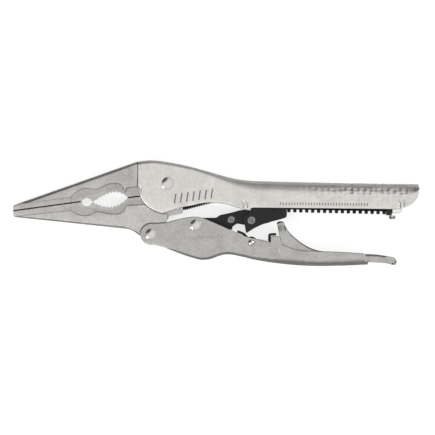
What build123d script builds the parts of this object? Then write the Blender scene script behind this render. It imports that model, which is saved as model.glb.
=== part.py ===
from build123d import *
import math
import os

# Locking pliers with long jaws and a toothed adjusting rack.
# They lie flat: X runs from the jaws to the handle ends, Y across the handles, Z through the
# thickness. Origin: the axis of the jaw pivot, on the plane under the rivet heads. Millimetres.

# ---- overall lengths, from the jaw pivot -----------------------------------------------------
JAW_TIP_X = -106.6       # tip of the closed jaws
GRIP_END_X = 173.0       # rear end of the upper handle
HANDLE_END_X = 137.9     # rear end of the lower handle's sheet
TAIL_REACH = 19.9        # how far the release lever's tail stands out behind that

# ---- sheet handles ---------------------------------------------------------------------------
SHEET = 1.8              # steel sheet of both handles
CHANNEL_GAP = 10.4       # width between the two cheeks of a handle
GRIP_BEND = 4.4          # outer bend radius along the back of the upper handle
LEVER_HANDLE_BEND = 3.0  # outer bend radius along the bottom of the lower handle
HEAD_RISE = 1.0          # height of a rivet head over a cheek
PLAY = 0.15              # gap on each side of a piece that moves between two walls
TURN_FIT = 0.05          # radial clearance of a piece that turns on a pin
MOVE_GAP = 0.35          # gap between edges that pass each other

CHANNEL_WIDTH = CHANNEL_GAP + 2 * SHEET
MID = CHANNEL_WIDTH / 2 + HEAD_RISE
INNER_WIDTH = CHANNEL_GAP - 2 * PLAY

# ---- pivots ----------------------------------------------------------------------------------
JAW_PIVOT = (0.0, 0.0)
HANDLE_PIVOT = (-11.5, -34.9)
LINK_PIVOT = (19.25, -28.6)
SHOE_PIVOT = (57.4, -25.3)
LEVER_PIVOT = (57.3, -40.8)
LINK_CROSS = (43.5, -24.8)

# ---- jaws ------------------------------------------------------------------------------------
JAW_WIDTH = 13.6         # full thickness of the jaws at the pivot end
JAW_TIP_WIDTH = 6.0      # thickness at the tip
WEB_WIDTH = 8.4          # thickness inside the coined recess
TAPER_START_X = -28.0
CHEEK_RADIUS = 20.9      # round front of the upper handle's cheeks, about the jaw pivot
CHEEK_FRONT_X = -20.6    # straight front edge of those cheeks
HUB_RADIUS = 8.8         # hub of the lower jaw on the main rivet
PARTING = 0.3            # gap between the closed jaws
NOSE_DEPTH = 0.45        # fine teeth of the long nose
NOSE_TEETH = 28
THROAT_DEPTH = 1.3       # coarse teeth of the throat
THROAT_TEETH = 10

# ---- rivets: shank radius, head radius -------------------------------------------------------
MAIN_RIVET = (3.0, 4.3)
HANDLE_RIVET = (2.7, 3.8)
LINK_RIVET = (2.0, 3.85)
LEVER_RIVET = (1.5, 2.2)
SHOE_RIVET = (1.6, 2.6)
CROSS_RIVET = (1.3, 2.35)
FLAT_END_RADIUS = 2.6    # flat of the main rivet's lower head, on which the tool rests
LUG_RADIUS = 7.5         # front lug of the lower handle

# ---- rack, pawl, shoe and link ---------------------------------------------------------------
RACK_PITCH = 4.1
RACK_SLOPE = -1.2        # the rack and the shoe's travel, in degrees to X
RACK_FRONT = 55.0
RACK_REAR = GRIP_END_X - 18.6
RACK_ROOT_Y = -16.1      # line between the teeth, at X = 0 before the slope is applied
TOOTH_HEIGHT = 2.2
TOOTH_WIDTH = 2.3
RACK_BODY = 4.2          # height of the strip above the teeth
RACK_FOOT = 3.5          # length of the full-width blocks at the rack's two ends
END_DROP = 2.6           # how far the rear block hangs under the root line
LINK_SHEET = 1.3
SHOE_SHEET = 1.5
STACK_GAP = 0.1          # gap between neighbouring plates of the stack
SHOE_PLAY = 0.2          # gap between a shoe plate and the cheek beside it
LINK_SLACK = 0.95        # room round the link rivet in the link's eye
GUIDE_PIN_RADIUS = 1.5
PAWL_GAP = 0.35          # pawl teeth to rack teeth while the pawl is out
PAWL_TEETH = 4

RACK_TEETH = int((RACK_REAR - RACK_FOOT - RACK_FRONT - TOOTH_WIDTH / 2) / RACK_PITCH)

RACK_WIDTH = CHANNEL_GAP - 2 * (SHOE_PLAY + SHOE_SHEET + LINK_SHEET + 3 * STACK_GAP)
LINK_INNER = RACK_WIDTH / 2 + 2 * STACK_GAP
SHOE_INNER = LINK_INNER + LINK_SHEET + STACK_GAP

# ---- release lever and springs ---------------------------------------------------------------
LEVER_SHEET = 1.4
LEVER_WIDTH = INNER_WIDTH - 0.2
NOSE_WIDTH = 2 * SHOE_INNER - 0.6
LEVER_HUB = 3.1
WIRE = 0.85              # radius of the release spring's wire
RELEASE_COIL = 3.6
JAW_SPRING_RADIUS = 2.7
JAW_SPRING_WIRE = 0.5
JAW_TAIL_EYE = (6.6, -17.2)
SPRING_ANCHOR = (43.0, -7.6)
ANCHOR_PIN_RADIUS = 1.2


def profile(*edges):
    """Closed outline in the side view."""
    return make_face(Curve() + list(edges))


def slab(face, width, offset=0.0):
    """Side-view face made a plate: its middle plane lies offset above the tool's own."""
    return extrude(Pos(0, 0, MID + offset - width / 2) * face, amount=width)


def disc(centre, radius, width, offset=0.0):
    return slab(Pos(*centre) * Circle(radius), width, offset)


def hollow(outline, dx, dy, end):
    """Room inside a bent channel: the outline moved off its back, and off its closed end."""
    return (Pos(dx, dy) * outline) & (Pos(end, dy / 2) * outline)


def polar(centre, radius, degrees):
    angle = math.radians(degrees)
    return (centre[0] + radius * math.cos(angle), centre[1] + radius * math.sin(angle))


def on_slope(x, y):
    """A point of the rack, given along and across it, in the tool's frame."""
    angle = math.radians(RACK_SLOPE)
    return (x * math.cos(angle) - y * math.sin(angle), x * math.sin(angle) + y * math.cos(angle))


def save(node, shape):
    solid = shape.clean()
    solids = solid.solids()
    body = solids[0] if len(solids) == 1 else Compound(children=list(solids))
    export_step(body, "parts/" + node + ".step")


# ---- upper handle ----------------------------------------------------------------------------
GRIP_LIP = ((58.5, -16.7), (GRIP_END_X - 14.4, -17.7))


def upper_handle_outline():
    cheek_low = polar(JAW_PIVOT, CHEEK_RADIUS, -100)
    cheek_high = polar(JAW_PIVOT, CHEEK_RADIUS, -157)
    front_top = (CHEEK_FRONT_X, 15.2)
    ridge_front = (80.0, 1.2)
    ridge_slope = -0.018
    end_x = GRIP_END_X - 0.4
    end_top = (end_x, ridge_front[1] + ridge_slope * (end_x - ridge_front[0]))
    end_low = (GRIP_END_X, end_top[1] - 4.5)
    heel_top = (GRIP_END_X - 9.4, -16.3)
    back = Spline(front_top, (-12.0, 16.0), (-2.5, 15.1), (14.1, 11.9), (30.6, 7.4), (43.0, 4.0),
                  (52.7, 2.3), (64.0, 1.5), ridge_front, tangents=((1, 0.15), (1, ridge_slope)))
    ridge = Line(ridge_front, end_top)
    end = Line(end_top, end_low)
    corner = ThreePointArc(end_low, (GRIP_END_X - 2.6, -11.7), heel_top)
    heel = Line(heel_top, GRIP_LIP[1])
    lip = Line(GRIP_LIP[1], GRIP_LIP[0])
    crimp = Spline(GRIP_LIP[0], (54.4, -17.9), (50.4, -17.2), tangents=((-1, -0.1), (-1, 0.35)))
    throat = Spline((50.4, -17.2), (45.2, -15.6), (38.4, -13.9), (30.9, -13.2), (23.5, -13.7),
                    (16.6, -15.2), (8.1, -16.8), (1.5, -18.9), cheek_low,
                    tangents=((-1, 0.35), (-0.95, -0.3)))
    cheek = ThreePointArc(cheek_low, polar(JAW_PIVOT, CHEEK_RADIUS, -130), cheek_high)
    notch = Polyline(cheek_high, (-18.2, -6.2), (-18.2, -3.4), (CHEEK_FRONT_X, -1.4), front_top)
    return profile(back, ridge, end, corner, heel, lip, crimp, throat, cheek, notch)


def upper_handle():
    outline = upper_handle_outline()
    shell = slab(outline, CHANNEL_WIDTH)
    edges = shell.edges().filter_by(lambda e: e.center().Y > -1.2 and abs(e.center().Z - MID) > 1)
    edges = edges.filter_by(lambda e: e.bounding_box().size.X > 20)
    shell = fillet(edges, GRIP_BEND)
    cavity = slab(hollow(outline, 0, -SHEET, -SHEET), CHANNEL_GAP)
    front_mouth = Pos(CHEEK_FRONT_X + 7.6, -5.0) * Rectangle(16.0, 24.0)
    cavity += slab(front_mouth, CHANNEL_GAP)
    back_edges = cavity.edges().filter_by(
        lambda e: e.bounding_box().size.X > 40 and e.center().Y > -4 and abs(e.center().Z - MID) > 1)
    cavity = fillet(back_edges, GRIP_BEND - SHEET)
    shell -= cavity
    shell -= disc(JAW_PIVOT, MAIN_RIVET[0], CHANNEL_WIDTH)
    shell -= disc(SPRING_ANCHOR, ANCHOR_PIN_RADIUS, CHANNEL_WIDTH)
    groove = Rectangle(0.9, 5.0)
    groove_depth = 0.4
    for x, y in ((51.9, -14.4), (54.0, -14.4), (GRIP_END_X - 13.6, -13.8), (GRIP_END_X - 11.8, -13.8)):
        for side in (-1, 1):
            shell -= slab(Pos(x, y) * groove, 2 * groove_depth, side * CHANNEL_WIDTH / 2)
    return shell


# ---- jaws ------------------------------------------------------------------------------------
NOSE_FRONT = (JAW_TIP_X + 0.4, -18.9)
NOSE_BACK = (-60.0, -12.65)
THROAT_FRONT = (-52.4, -12.65)
THROAT_BACK = (-27.8, -9.8)
PART_BACK = (-9.2, -7.3)
GRIP_HOLE = (-56.1, -12.9)
GRIP_HOLE_RADII = (3.9, 2.9)


def jaw_edge(side):
    """Working edge of one jaw, tip to throat: fine teeth, grip hole, land and coarse teeth."""
    shift = side * PARTING / 2
    x0, y0 = NOSE_FRONT
    x1, y1 = NOSE_BACK
    points = []
    for i in range(NOSE_TEETH):
        for share, deep in ((0.0, 0.0), (0.5, NOSE_DEPTH)):
            t = (i + share) / NOSE_TEETH
            points.append((x0 + t * (x1 - x0), y0 + t * (y1 - y0) + shift + side * deep))
    points.append((x1, y1 + shift))
    hole_top = (GRIP_HOLE[0], GRIP_HOLE[1] + side * GRIP_HOLE_RADII[1])
    land = (THROAT_FRONT[0] + 0.2, THROAT_FRONT[1] + shift)
    hole = ThreePointArc(points[-1], hole_top, land)
    rise = 4.6 if side > 0 else 4.5
    arch = []
    for i in range(THROAT_TEETH):
        for share, deep in ((0.25, 0.0), (0.75, THROAT_DEPTH)):
            t = (i + share) / THROAT_TEETH
            x = land[0] + t * (THROAT_BACK[0] - land[0])
            chord = land[1] + t * (THROAT_BACK[1] - land[1])
            bulge = rise * math.sin(math.pi * t ** (1.35 if side > 0 else 1.15)) ** 0.8
            arch.append((x, chord + side * (bulge + deep * math.sin(math.pi * t) ** 0.5)))
    back = (THROAT_BACK[0], THROAT_BACK[1] + shift)
    part = (PART_BACK[0], PART_BACK[1] + shift)
    return [Polyline(*points), hole, Polyline(land, *arch, back, part)], points[0], part


def taper():
    """Wedge that thins the jaws towards the tip."""
    half = JAW_WIDTH / 2
    tip = JAW_TIP_WIDTH / 2
    plan = Polyline((JAW_TIP_X, tip), (TAPER_START_X, half), (30, half), (30, -half),
                    (TAPER_START_X, -half), (JAW_TIP_X, -tip), (JAW_TIP_X, tip))
    face = Plane.XZ * make_face(plan)
    return Pos(0, 60, MID) * extrude(face, amount=120)


def upper_recess():
    rim = Spline((-66.7, -9.1), (-61.9, -4.9), (-57.1, -3.1), (-52.8, -3.4), (-49.3, -3.8),
                 (-43.5, -1.2), (-36.2, 0.3), (-32.2, -0.6), (-30.0, -3.2), (-29.2, -6.0))
    band = Polyline((-29.2, -6.0), (-28.6, -2.9), (-17.0, -1.3), (-17.0, -20.0), (-66.7, -20.0),
                    (-66.7, -9.1))
    return profile(rim, band)


def lower_recess():
    rim = Spline((-66.9, -18.8), (-61.6, -21.6), (-56.8, -22.4), (-52.8, -21.6), (-49.3, -19.9),
                 (-43.5, -20.6), (-37.7, -21.3), (-32.2, -20.6), (-29.7, -18.4), (-29.1, -15.6))
    band = Polyline((-29.1, -15.6), (-12.0, -14.3), (-12.0, -2.0), (-66.9, -2.0), (-66.9, -18.8))
    return profile(rim, band)


def coined(jaw, recess):
    """Takes the recess out of both faces, down to the web, up to the round front of the cheeks."""
    area = recess - Pos(*JAW_PIVOT) * Circle(CHEEK_RADIUS)
    deep = (JAW_WIDTH - WEB_WIDTH) / 2
    for side in (-1, 1):
        jaw -= slab(area, deep, side * (WEB_WIDTH + deep) / 2)
    return jaw


def upper_jaw():
    edge, tip, part = jaw_edge(1)
    inner_top = 15.2 - SHEET - 0.1
    hub_gap = HUB_RADIUS + MOVE_GAP
    hub_left = polar(JAW_PIVOT, hub_gap, 213)
    hub_right = polar(JAW_PIVOT, hub_gap, 25)
    crown_front = (JAW_TIP_X + 1.4, -14.5)
    crown_back = (CHEEK_FRONT_X - 0.3, 15.1)
    nose = ThreePointArc(crown_front, (JAW_TIP_X, -15.6), tip)
    crown = Line(crown_back, crown_front)
    step = Polyline(crown_back, (crown_back[0], inner_top), (-14.0, inner_top + 0.3), (-4.0, 13.0),
                    (5.5, 11.2), (10.4, 9.6), hub_right)
    seat = ThreePointArc(hub_right, polar(JAW_PIVOT, hub_gap, 120), hub_left)
    outline = profile(nose, *edge, Line(part, hub_left), seat, step, crown)
    reach = 200
    front = Pos(crown_back[0] - reach / 2, 0) * Rectangle(reach, reach)
    front -= Pos(*JAW_PIVOT) * Circle(CHEEK_RADIUS + MOVE_GAP)
    jaw = slab(outline, CHANNEL_GAP) + slab(outline & front, JAW_WIDTH)
    return coined(jaw & taper(), upper_recess()) - upper_handle()


def lower_jaw():
    edge, tip, part = jaw_edge(-1)
    lug = LUG_RADIUS - 0.6
    belly_front = (JAW_TIP_X + 1.7, -23.2)
    nose = ThreePointArc(belly_front, (JAW_TIP_X + 0.2, -22.2), tip)
    belly = Line((-30.0, -31.0), belly_front)
    flank = Spline((-17.6, -36.9), (-19.4, -35.6), (-23.4, -32.9), (-30.0, -31.0),
                   tangents=((-0.5, 0.8), (-1, 0.105)))
    lug_end = polar(HANDLE_PIVOT, lug, -20)
    round_lug = ThreePointArc(lug_end, polar(HANDLE_PIVOT, lug, -100), (-17.6, -36.9))
    tail = Polyline(polar(JAW_PIVOT, HUB_RADIUS, -30), (10.3, -15.6), (10.3, -19.0), (9.4, -20.6),
                    (0.6, -22.6), (-1.4, -26.6), lug_end)
    hub_top = polar(JAW_PIVOT, HUB_RADIUS, 216)
    hub = ThreePointArc(hub_top, polar(JAW_PIVOT, HUB_RADIUS, 90), polar(JAW_PIVOT, HUB_RADIUS, -30))
    outline = profile(nose, *edge, Line(part, hub_top), hub, tail, round_lug, flank, belly)
    front = outline - Pos(*JAW_PIVOT) * Circle(CHEEK_RADIUS + MOVE_GAP)
    front -= Pos(*HANDLE_PIVOT) * Circle(LUG_RADIUS + MOVE_GAP)
    handle_side = Polygon(HANDLE_PIVOT, polar(HANDLE_PIVOT, LUG_RADIUS + MOVE_GAP, 97), (-2.0, -26.7),
                          (14.0, -22.0), (14.0, -50.0), (-11.5, -50.0), align=None)
    behind = Pos(24.6, -20) * Rectangle(50, 60)
    front = front - handle_side - behind
    jaw = slab(outline, INNER_WIDTH) + slab(front, JAW_WIDTH)
    jaw = coined(jaw & taper(), lower_recess())
    jaw -= disc(JAW_PIVOT, MAIN_RIVET[0] + TURN_FIT, JAW_WIDTH)
    jaw -= disc(HANDLE_PIVOT, HANDLE_RIVET[0] + TURN_FIT, JAW_WIDTH)
    eye_room = 2 * (JAW_SPRING_WIRE + 1.2)
    tail_slot = Pos(JAW_TAIL_EYE[0] + 2.0, JAW_TAIL_EYE[1]) * Rectangle(9.0, 7.4)
    jaw -= slab(tail_slot, eye_room)
    jaw -= disc(JAW_TAIL_EYE, ANCHOR_PIN_RADIUS, JAW_WIDTH)
    return jaw


# ---- lower handle ----------------------------------------------------------------------------
def lower_handle_outline():
    lug_top = polar(HANDLE_PIVOT, LUG_RADIUS, 95)
    lug_low = polar(HANDLE_PIVOT, LUG_RADIUS, -80)
    end_low = (HANDLE_END_X, -55.9)
    end_top = (HANDLE_END_X - 2.4, -48.3)
    lug = ThreePointArc(lug_top, polar(HANDLE_PIVOT, LUG_RADIUS, 190), lug_low)
    belly = Spline(lug_low, (-2.5, -44.0), (8.6, -48.4), (19.6, -51.9), (25.1, -52.7), (30.6, -51.7),
                   (36.2, -49.5), (41.7, -48.7), (47.2, -49.3), (58.2, -52.2), (69.3, -54.2),
                   (85.8, -56.1), (102.4, -57.0), (120.0, -56.7), end_low, tangents=((1, 0.17), (1, 0.06)))
    end = Polyline(end_low, (HANDLE_END_X - 0.1, -52.0), (HANDLE_END_X - 1.7, -50.1), end_top)
    grip_top = Spline(end_top, (119.0, -47.2), (102.7, -46.6), (91.0, -46.0), (84.0, -44.3),
                      (78.4, -42.0), tangents=((-1, 0.12), (-0.9, 0.5)))
    ear = Polyline((78.4, -42.0), (76.5, -36.3), (70.9, -36.3), (70.9, -40.6))
    waist = Spline((70.9, -40.6), (58.2, -37.5), (52.6, -36.1), tangents=((-1, 0.22), (-0.9, 0.42)))
    ramp = Line((52.6, -36.1), (28.4, -25.4))
    hump = Spline((28.4, -25.4), (23.0, -23.4), (18.4, -22.8), (12.0, -23.5), (4.0, -25.3),
                  (-2.0, -27.0), lug_top, tangents=((-0.91, 0.42), (-1, 0.0)))
    return profile(lug, belly, end, grip_top, ear, waist, ramp, hump)


def lower_handle():
    outline = lower_handle_outline()
    shell = slab(outline, CHANNEL_WIDTH)
    edges = shell.edges().filter_by(
        lambda e: e.bounding_box().size.X > 100 and e.center().Y < -48 and abs(e.center().Z - MID) > 1)
    shell = fillet(edges, LEVER_HANDLE_BEND)
    cavity = slab(Pos(0, SHEET) * outline, CHANNEL_GAP)
    floor_y = -55.9 + SHEET
    rear_mouth = Pos(HANDLE_END_X, (floor_y - 46.0) / 2) * Rectangle(6.0, -46.0 - floor_y)
    front_mouth = Pos(HANDLE_PIVOT[0] - 2.5, HANDLE_PIVOT[1] - 1.1) * Rectangle(24.0, 34.0)
    cavity += slab(rear_mouth, CHANNEL_GAP)
    cavity += slab(front_mouth, CHANNEL_GAP)
    shell -= cavity
    shell -= disc(HANDLE_PIVOT, HANDLE_RIVET[0], CHANNEL_WIDTH)
    shell -= disc(LINK_PIVOT, LINK_RIVET[0], CHANNEL_WIDTH)
    shell -= disc(LEVER_PIVOT, LEVER_RIVET[0], CHANNEL_WIDTH)
    return shell


# ---- rivets ----------------------------------------------------------------------------------
def domed_rivet(centre, sizes, flat=0.0):
    """Shank through both cheeks with a domed head on each; flat cuts the lower dome's crown."""
    shank, head = sizes
    rivet = disc(centre, shank, CHANNEL_WIDTH)
    ball = (head ** 2 + HEAD_RISE ** 2) / (2 * HEAD_RISE)
    reach = CHANNEL_WIDTH / 2 + HEAD_RISE
    for side in (-1, 1):
        dome = Pos(centre[0], centre[1], MID + side * (reach - ball)) * Sphere(ball)
        cap = disc(centre, head, HEAD_RISE, side * (CHANNEL_WIDTH + HEAD_RISE) / 2)
        if flat and side < 0:
            cone = Cone(flat, head, HEAD_RISE)
            rivet += Pos(centre[0], centre[1], HEAD_RISE / 2) * cone
        else:
            rivet += dome & cap
    return rivet


def flush_rivet(centre, sizes, width):
    shank, head = sizes
    rivet = disc(centre, shank, width)
    thin = 0.12
    for side in (-1, 1):
        rivet += disc(centre, head, thin, side * (width + thin) / 2)
    return rivet


# ---- rack and its rear clip ------------------------------------------------------------------
def rack_block(x, low, high, length):
    """Rectangle on the rack's slope, from low to high over the root line."""
    middle = RACK_ROOT_Y + (low + high) / 2
    return Rot(0, 0, RACK_SLOPE) * (Pos(x, middle) * Rectangle(length, high - low))


def rack():
    strip = rack_block((RACK_FRONT + RACK_REAR) / 2, 0, RACK_BODY, RACK_REAR - RACK_FRONT)
    strip += rack_block(RACK_REAR - RACK_FOOT / 2, -END_DROP, 0, RACK_FOOT)
    tip_radius = TOOTH_WIDTH / 2 - 0.25
    for i in range(RACK_TEETH):
        x = RACK_FRONT + RACK_PITCH * (i + 1)
        tooth = Pos(x, RACK_ROOT_Y - TOOTH_HEIGHT / 2 + 0.2) * Rectangle(TOOTH_WIDTH, TOOTH_HEIGHT + 0.4)
        strip += Rot(0, 0, RACK_SLOPE) * fillet(tooth.vertices().group_by(Axis.Y)[0], tip_radius)
    bar = slab(strip, RACK_WIDTH)
    for x in (RACK_FRONT - RACK_FOOT / 2, RACK_REAR - RACK_FOOT / 2):
        bar += slab(rack_block(x, 0, RACK_BODY, RACK_FOOT), CHANNEL_GAP)
    return bar


def rack_clip():
    """Bent steel tab behind the rack, held between the cheeks by the rear crimp."""
    low, high = RACK_ROOT_Y - 1.3, RACK_ROOT_Y + RACK_BODY
    x = RACK_REAR
    tab = Polyline((x, high), (x, low), (x + 4.6, low + 0.3), (x + 6.6, low + 2.0), (x + 6.9, high),
                   (x, high))
    return slab(Rot(0, 0, RACK_SLOPE) * make_face(tab), CHANNEL_GAP)


def rack_stop_screw():
    height = 2.6
    x, y = on_slope(RACK_REAR + 0.6, RACK_ROOT_Y - END_DROP - 0.1 - height / 2)
    return Pos(x, y, MID) * (Rot(90, 0, RACK_SLOPE) * Cylinder(2.3, height))


# ---- shoe, link and pawl ---------------------------------------------------------------------
def shoe_plate(side):
    d = SHOE_PIVOT
    front_top = polar(d, 5.5, 112)
    front_low = polar(d, 5.5, 212)
    nose = ThreePointArc(front_top, polar(d, 5.5, 165), front_low)
    keel = Polyline(front_low, (53.8, -33.8), (54.4, -33.9), (59.3, -30.8), (65.0, -28.1), (70.7, -26.4),
                    (77.3, -24.7), (80.7, -23.7), (81.7, -22.6), (81.9, -20.5))
    shoulder = Polyline((81.9, -20.5), (81.2, -9.5), (79.0, -8.2), (66.0, -8.0), (63.0, -9.4), front_top)
    plate = profile(nose, keel, shoulder)
    plate -= Pos(*d) * Circle(SHOE_RIVET[0])
    plate -= Pos(*guide_pin_centre()) * Circle(GUIDE_PIN_RADIUS)
    return slab(plate, SHOE_SHEET, side * (SHOE_INNER + SHOE_SHEET / 2))


def guide_pin_centre():
    return on_slope(72.0, RACK_ROOT_Y + RACK_BODY + GUIDE_PIN_RADIUS + 0.1)


def shoe_guide_pin():
    return disc(guide_pin_centre(), GUIDE_PIN_RADIUS, 2 * (SHOE_INNER + SHOE_SHEET))


def link_plate(side):
    c, d = LINK_PIVOT, SHOE_PIVOT
    rear_top = polar(d, 4.2, 60)
    rear_low = polar(d, 4.2, -60)
    front_top = polar(c, 5.0, 80)
    front_low = polar(c, 5.0, -100)
    tail = ThreePointArc(front_top, polar(c, 5.0, 170), front_low)
    keel = Polyline(front_low, (30.0, -31.6), (44.3, -31.7), (44.4, -29.8), (47.5, -27.6),
                    (53.0, -28.6), rear_low)
    eye = ThreePointArc(rear_low, polar(d, 4.2, 0), rear_top)
    crown = Polyline(rear_top, (57.0, -18.4), (52.2, -17.9), (48.7, -18.6), (44.1, -19.9),
                     (35.8, -21.7), (33.2, -23.5), front_top)
    plate = profile(tail, keel, eye, crown)
    plate -= Pos(*c) * Circle(LINK_RIVET[0] + LINK_SLACK)
    plate -= Pos(*d) * Circle(SHOE_RIVET[0] + TURN_FIT)
    plate -= Pos(*LINK_CROSS) * Circle(CROSS_RIVET[0])
    return slab(plate, LINK_SHEET, side * (LINK_INNER + LINK_SHEET / 2))


def link_spacer():
    return disc(LINK_CROSS, 2.6, 2 * LINK_INNER) - disc(LINK_CROSS, CROSS_RIVET[0], 2 * LINK_INNER)


def link_rings():
    """Two rings on the link rivet, between each cheek and its link plate."""
    inner = LINK_INNER + LINK_SHEET + PLAY
    width = CHANNEL_GAP / 2 - inner
    ring = Circle(4.4) - Circle(LINK_RIVET[0])
    rings = [slab(Pos(*LINK_PIVOT) * ring, width, side * (inner + width / 2)) for side in (-1, 1)]
    return rings[0] + rings[1]


def pawl():
    d = SHOE_PIVOT
    width = RACK_WIDTH - 0.2
    top = RACK_ROOT_Y - TOOTH_HEIGHT - PAWL_GAP
    x_front, x_rear = 64.0, 80.6
    arm = Polyline(on_slope(x_front, top - 1.9), on_slope(x_rear, top - 1.9), (80.2, -23.2),
                   (70.0, -25.7), polar(d, 3.4, -60), polar(d, 3.4, 80), on_slope(x_front, top - 1.9))
    block = make_face(arm) + Pos(*d) * Circle(3.4)
    half = (RACK_PITCH - TOOTH_WIDTH) / 2 - PLAY
    lean = -0.1
    slant = 0.4
    first_gap = RACK_FRONT + RACK_PITCH * 1.5
    skip = math.ceil((x_front + 1 - first_gap) / RACK_PITCH)
    for i in range(PAWL_TEETH):
        x = first_gap + (skip + i) * RACK_PITCH
        foot_front = on_slope(x + lean - half, top - TOOTH_HEIGHT)
        foot_rear = on_slope(x + lean + half, top - TOOTH_HEIGHT)
        tip_front = on_slope(x + lean - half + slant, top)
        tip_rear = on_slope(x + lean + half - slant, top)
        tooth = Polyline(foot_front, tip_front, tip_rear, foot_rear, foot_front)
        block += make_face(tooth)
    block -= Pos(*d) * Circle(SHOE_RIVET[0] + TURN_FIT)
    return slab(block, width)


# ---- release lever ---------------------------------------------------------------------------
def release_lever():
    e = LEVER_PIVOT
    end_x = HANDLE_END_X + TAIL_REACH
    hub_top = polar(e, LEVER_HUB, 80)
    hub_low = polar(e, LEVER_HUB, -80)
    tail_low = (end_x - 2.4, -56.8)
    tail_top = (end_x - 0.6, -52.0)
    hub = ThreePointArc(hub_top, polar(e, LEVER_HUB, 180), hub_low)
    belly = Spline(hub_low, (80.0, -49.4), (104.0, -52.6), (end_x - 19.2, -54.1), (end_x - 7.9, -54.8),
                   tail_low, tangents=((1, -0.3), (0.8, -0.5)))
    curl = ThreePointArc(tail_low, (end_x - 0.1, -54.6), tail_top)
    tail = Spline(tail_top, (end_x - 5.7, -50.2), (end_x - 14.8, -48.9), (end_x - 23.8, -48.6),
                  (119.0, -47.6), (104.0, -46.2), (96.0, -43.3), (89.0, -38.6), (83.6, -33.6),
                  (81.2, -30.0), (79.6, -26.0), tangents=((-0.9, 0.3), (-0.25, 1)))
    nose = Polyline((79.6, -26.0), (76.7, -26.1), (75.0, -27.0), (76.0, -33.0), (77.6, -39.0),
                    (76.6, -43.4), hub_top)
    outline = profile(hub, belly, curl, tail, nose)
    body = slab(outline, LEVER_WIDTH)
    back = body.edges().filter_by(lambda f: f.bounding_box().size.X > 70 and f.center().Y > -50)
    back = back.filter_by(lambda f: abs(f.center().Z - MID) > 1)
    body = fillet(back, 1.9)
    body -= slab(hollow(outline, 0, -LEVER_SHEET, -LEVER_SHEET), LEVER_WIDTH - 2 * LEVER_SHEET)
    body -= slab(Pos(62.0, -41.0) * Rectangle(20.0, 20.0), LEVER_WIDTH - 2 * LEVER_SHEET)
    neck = Pos(78.0, -27.2) * Rectangle(9.0, 5.4)
    side_cut = (LEVER_WIDTH - NOSE_WIDTH) / 2
    for side in (-1, 1):
        body -= slab(neck, side_cut, side * (NOSE_WIDTH + side_cut) / 2)
    body -= disc(e, LEVER_RIVET[0] + TURN_FIT, LEVER_WIDTH)
    return body


# ---- springs ---------------------------------------------------------------------------------
def wire_run(*points):
    """Round wire along a bent path, rounded at its ends."""
    bends = [1.6] * (len(points) - 2)
    path = FilletPolyline(*points, radius=bends[0]) if bends else Line(*points)
    start = Plane(origin=path @ 0, z_dir=path % 0)
    return sweep(start * Circle(WIRE), path=path)


def release_spring():
    """Torsion coil round the lever rivet, one leg to the front nub, one hooked over the raised ear."""
    e = LEVER_PIVOT
    coil_width = LEVER_WIDTH - 2 * LEVER_SHEET - 0.6
    coil = disc(e, RELEASE_COIL + WIRE, coil_width) - disc(e, RELEASE_COIL - WIRE, coil_width)
    front_z = MID + coil_width / 2 - WIRE
    rear_z = MID - coil_width / 2 + WIRE
    top = (e[0] - 2.0, e[1] + RELEASE_COIL - 0.6, front_z)
    front = wire_run(top, (51.6, -34.6, front_z), (47.8, -32.9, front_z))
    low = (e[0] + 2.0, e[1] - RELEASE_COIL + 0.4, rear_z)
    rear = wire_run(low, (70.1, -44.6, rear_z), (69.8, -35.3, rear_z), (74.6, -35.0, rear_z))
    return coil + front + rear


def jaw_spring():
    """Extension spring between the lower jaw's tail and the anchor pin: coil body and two eyes."""
    x0, y0 = JAW_TAIL_EYE
    x1, y1 = SPRING_ANCHOR
    length = math.hypot(x1 - x0, y1 - y0)
    angle = math.degrees(math.atan2(y1 - y0, x1 - x0))
    eye = ANCHOR_PIN_RADIUS + JAW_SPRING_WIRE + 0.1
    margin = 2 * eye + 1.0
    core = length - 2 * margin
    coil = Pos(length / 2, 0, 0) * (Rot(0, 90, 0) * Cylinder(JAW_SPRING_RADIUS, core))
    hooks = []
    for x, way in ((0, 1), (length, -1)):
        ring = Pos(x, 0, 0) * Torus(eye, JAW_SPRING_WIRE)
        stem = Rot(0, 90, 0) * Cylinder(JAW_SPRING_WIRE, margin - eye)
        stem = Pos(x + way * (eye + margin / 2 - 0.2), 0, 0) * stem
        hooks.append(ring + stem)
    spring = coil + hooks[0] + hooks[1]
    return Pos(x0, y0, MID) * (Rot(0, 0, angle) * spring)


def jaw_tail_pin():
    return disc(JAW_TAIL_EYE, ANCHOR_PIN_RADIUS, INNER_WIDTH)


def pawl_spring():
    """Flat leaf under the pawl, bent between the shoe plates."""
    leaf = Polyline((61.9, -28.3), (66.5, -27.2), (70.2, -26.4), (70.3, -26.75), (66.6, -27.7),
                    (62.0, -28.8), (61.9, -28.3))
    return slab(make_face(leaf), 2 * SHOE_INNER)


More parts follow.
